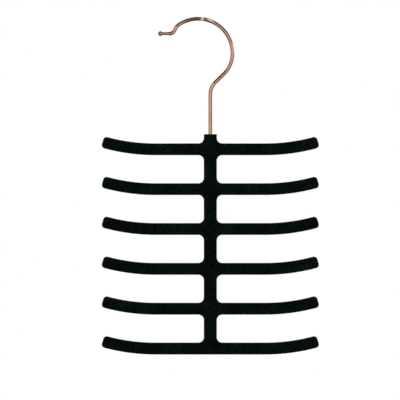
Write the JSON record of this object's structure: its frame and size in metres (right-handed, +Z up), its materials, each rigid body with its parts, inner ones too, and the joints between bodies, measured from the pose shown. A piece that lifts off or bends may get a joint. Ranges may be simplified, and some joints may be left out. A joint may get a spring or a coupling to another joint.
{
  "type": "tie hanger",
  "caption": "Flocked fishbone tie hanger: a spine with tiers of upturned arms under a swivelling wire hook that hangs on a closet rod.",
  "frame": {"origin": "the point of the hook's crown that rests on a closet rod", "axes": "+Z up, X along the arms with the hook's open side at -X, Y through the thickness"},
  "size_m": [0.217, 0.009, 0.3376],
  "materials": {
    "core_plastic": "satin",
    "black_flock": "matte",
    "rose_gold_plate": "polished",
    "bush_brass": "satin",
    "washer_steel": "satin"
  },
  "bodies": {
    "hook": {"swivel_hook": "rose_gold_plate", "thrust_washer": "washer_steel"},
    "hanger": {"hanger_core": "core_plastic", "flock_coat": "black_flock", "swivel_bush": "bush_brass"}
  },
  "joints": [
    {"name": "hook_swivel", "type": "hinge", "parent": "hook", "child": "hanger", "pos_m": [0.0122, 0, -0.1135], "axis": [0, 0, 1], "continuous": true}
  ]
}
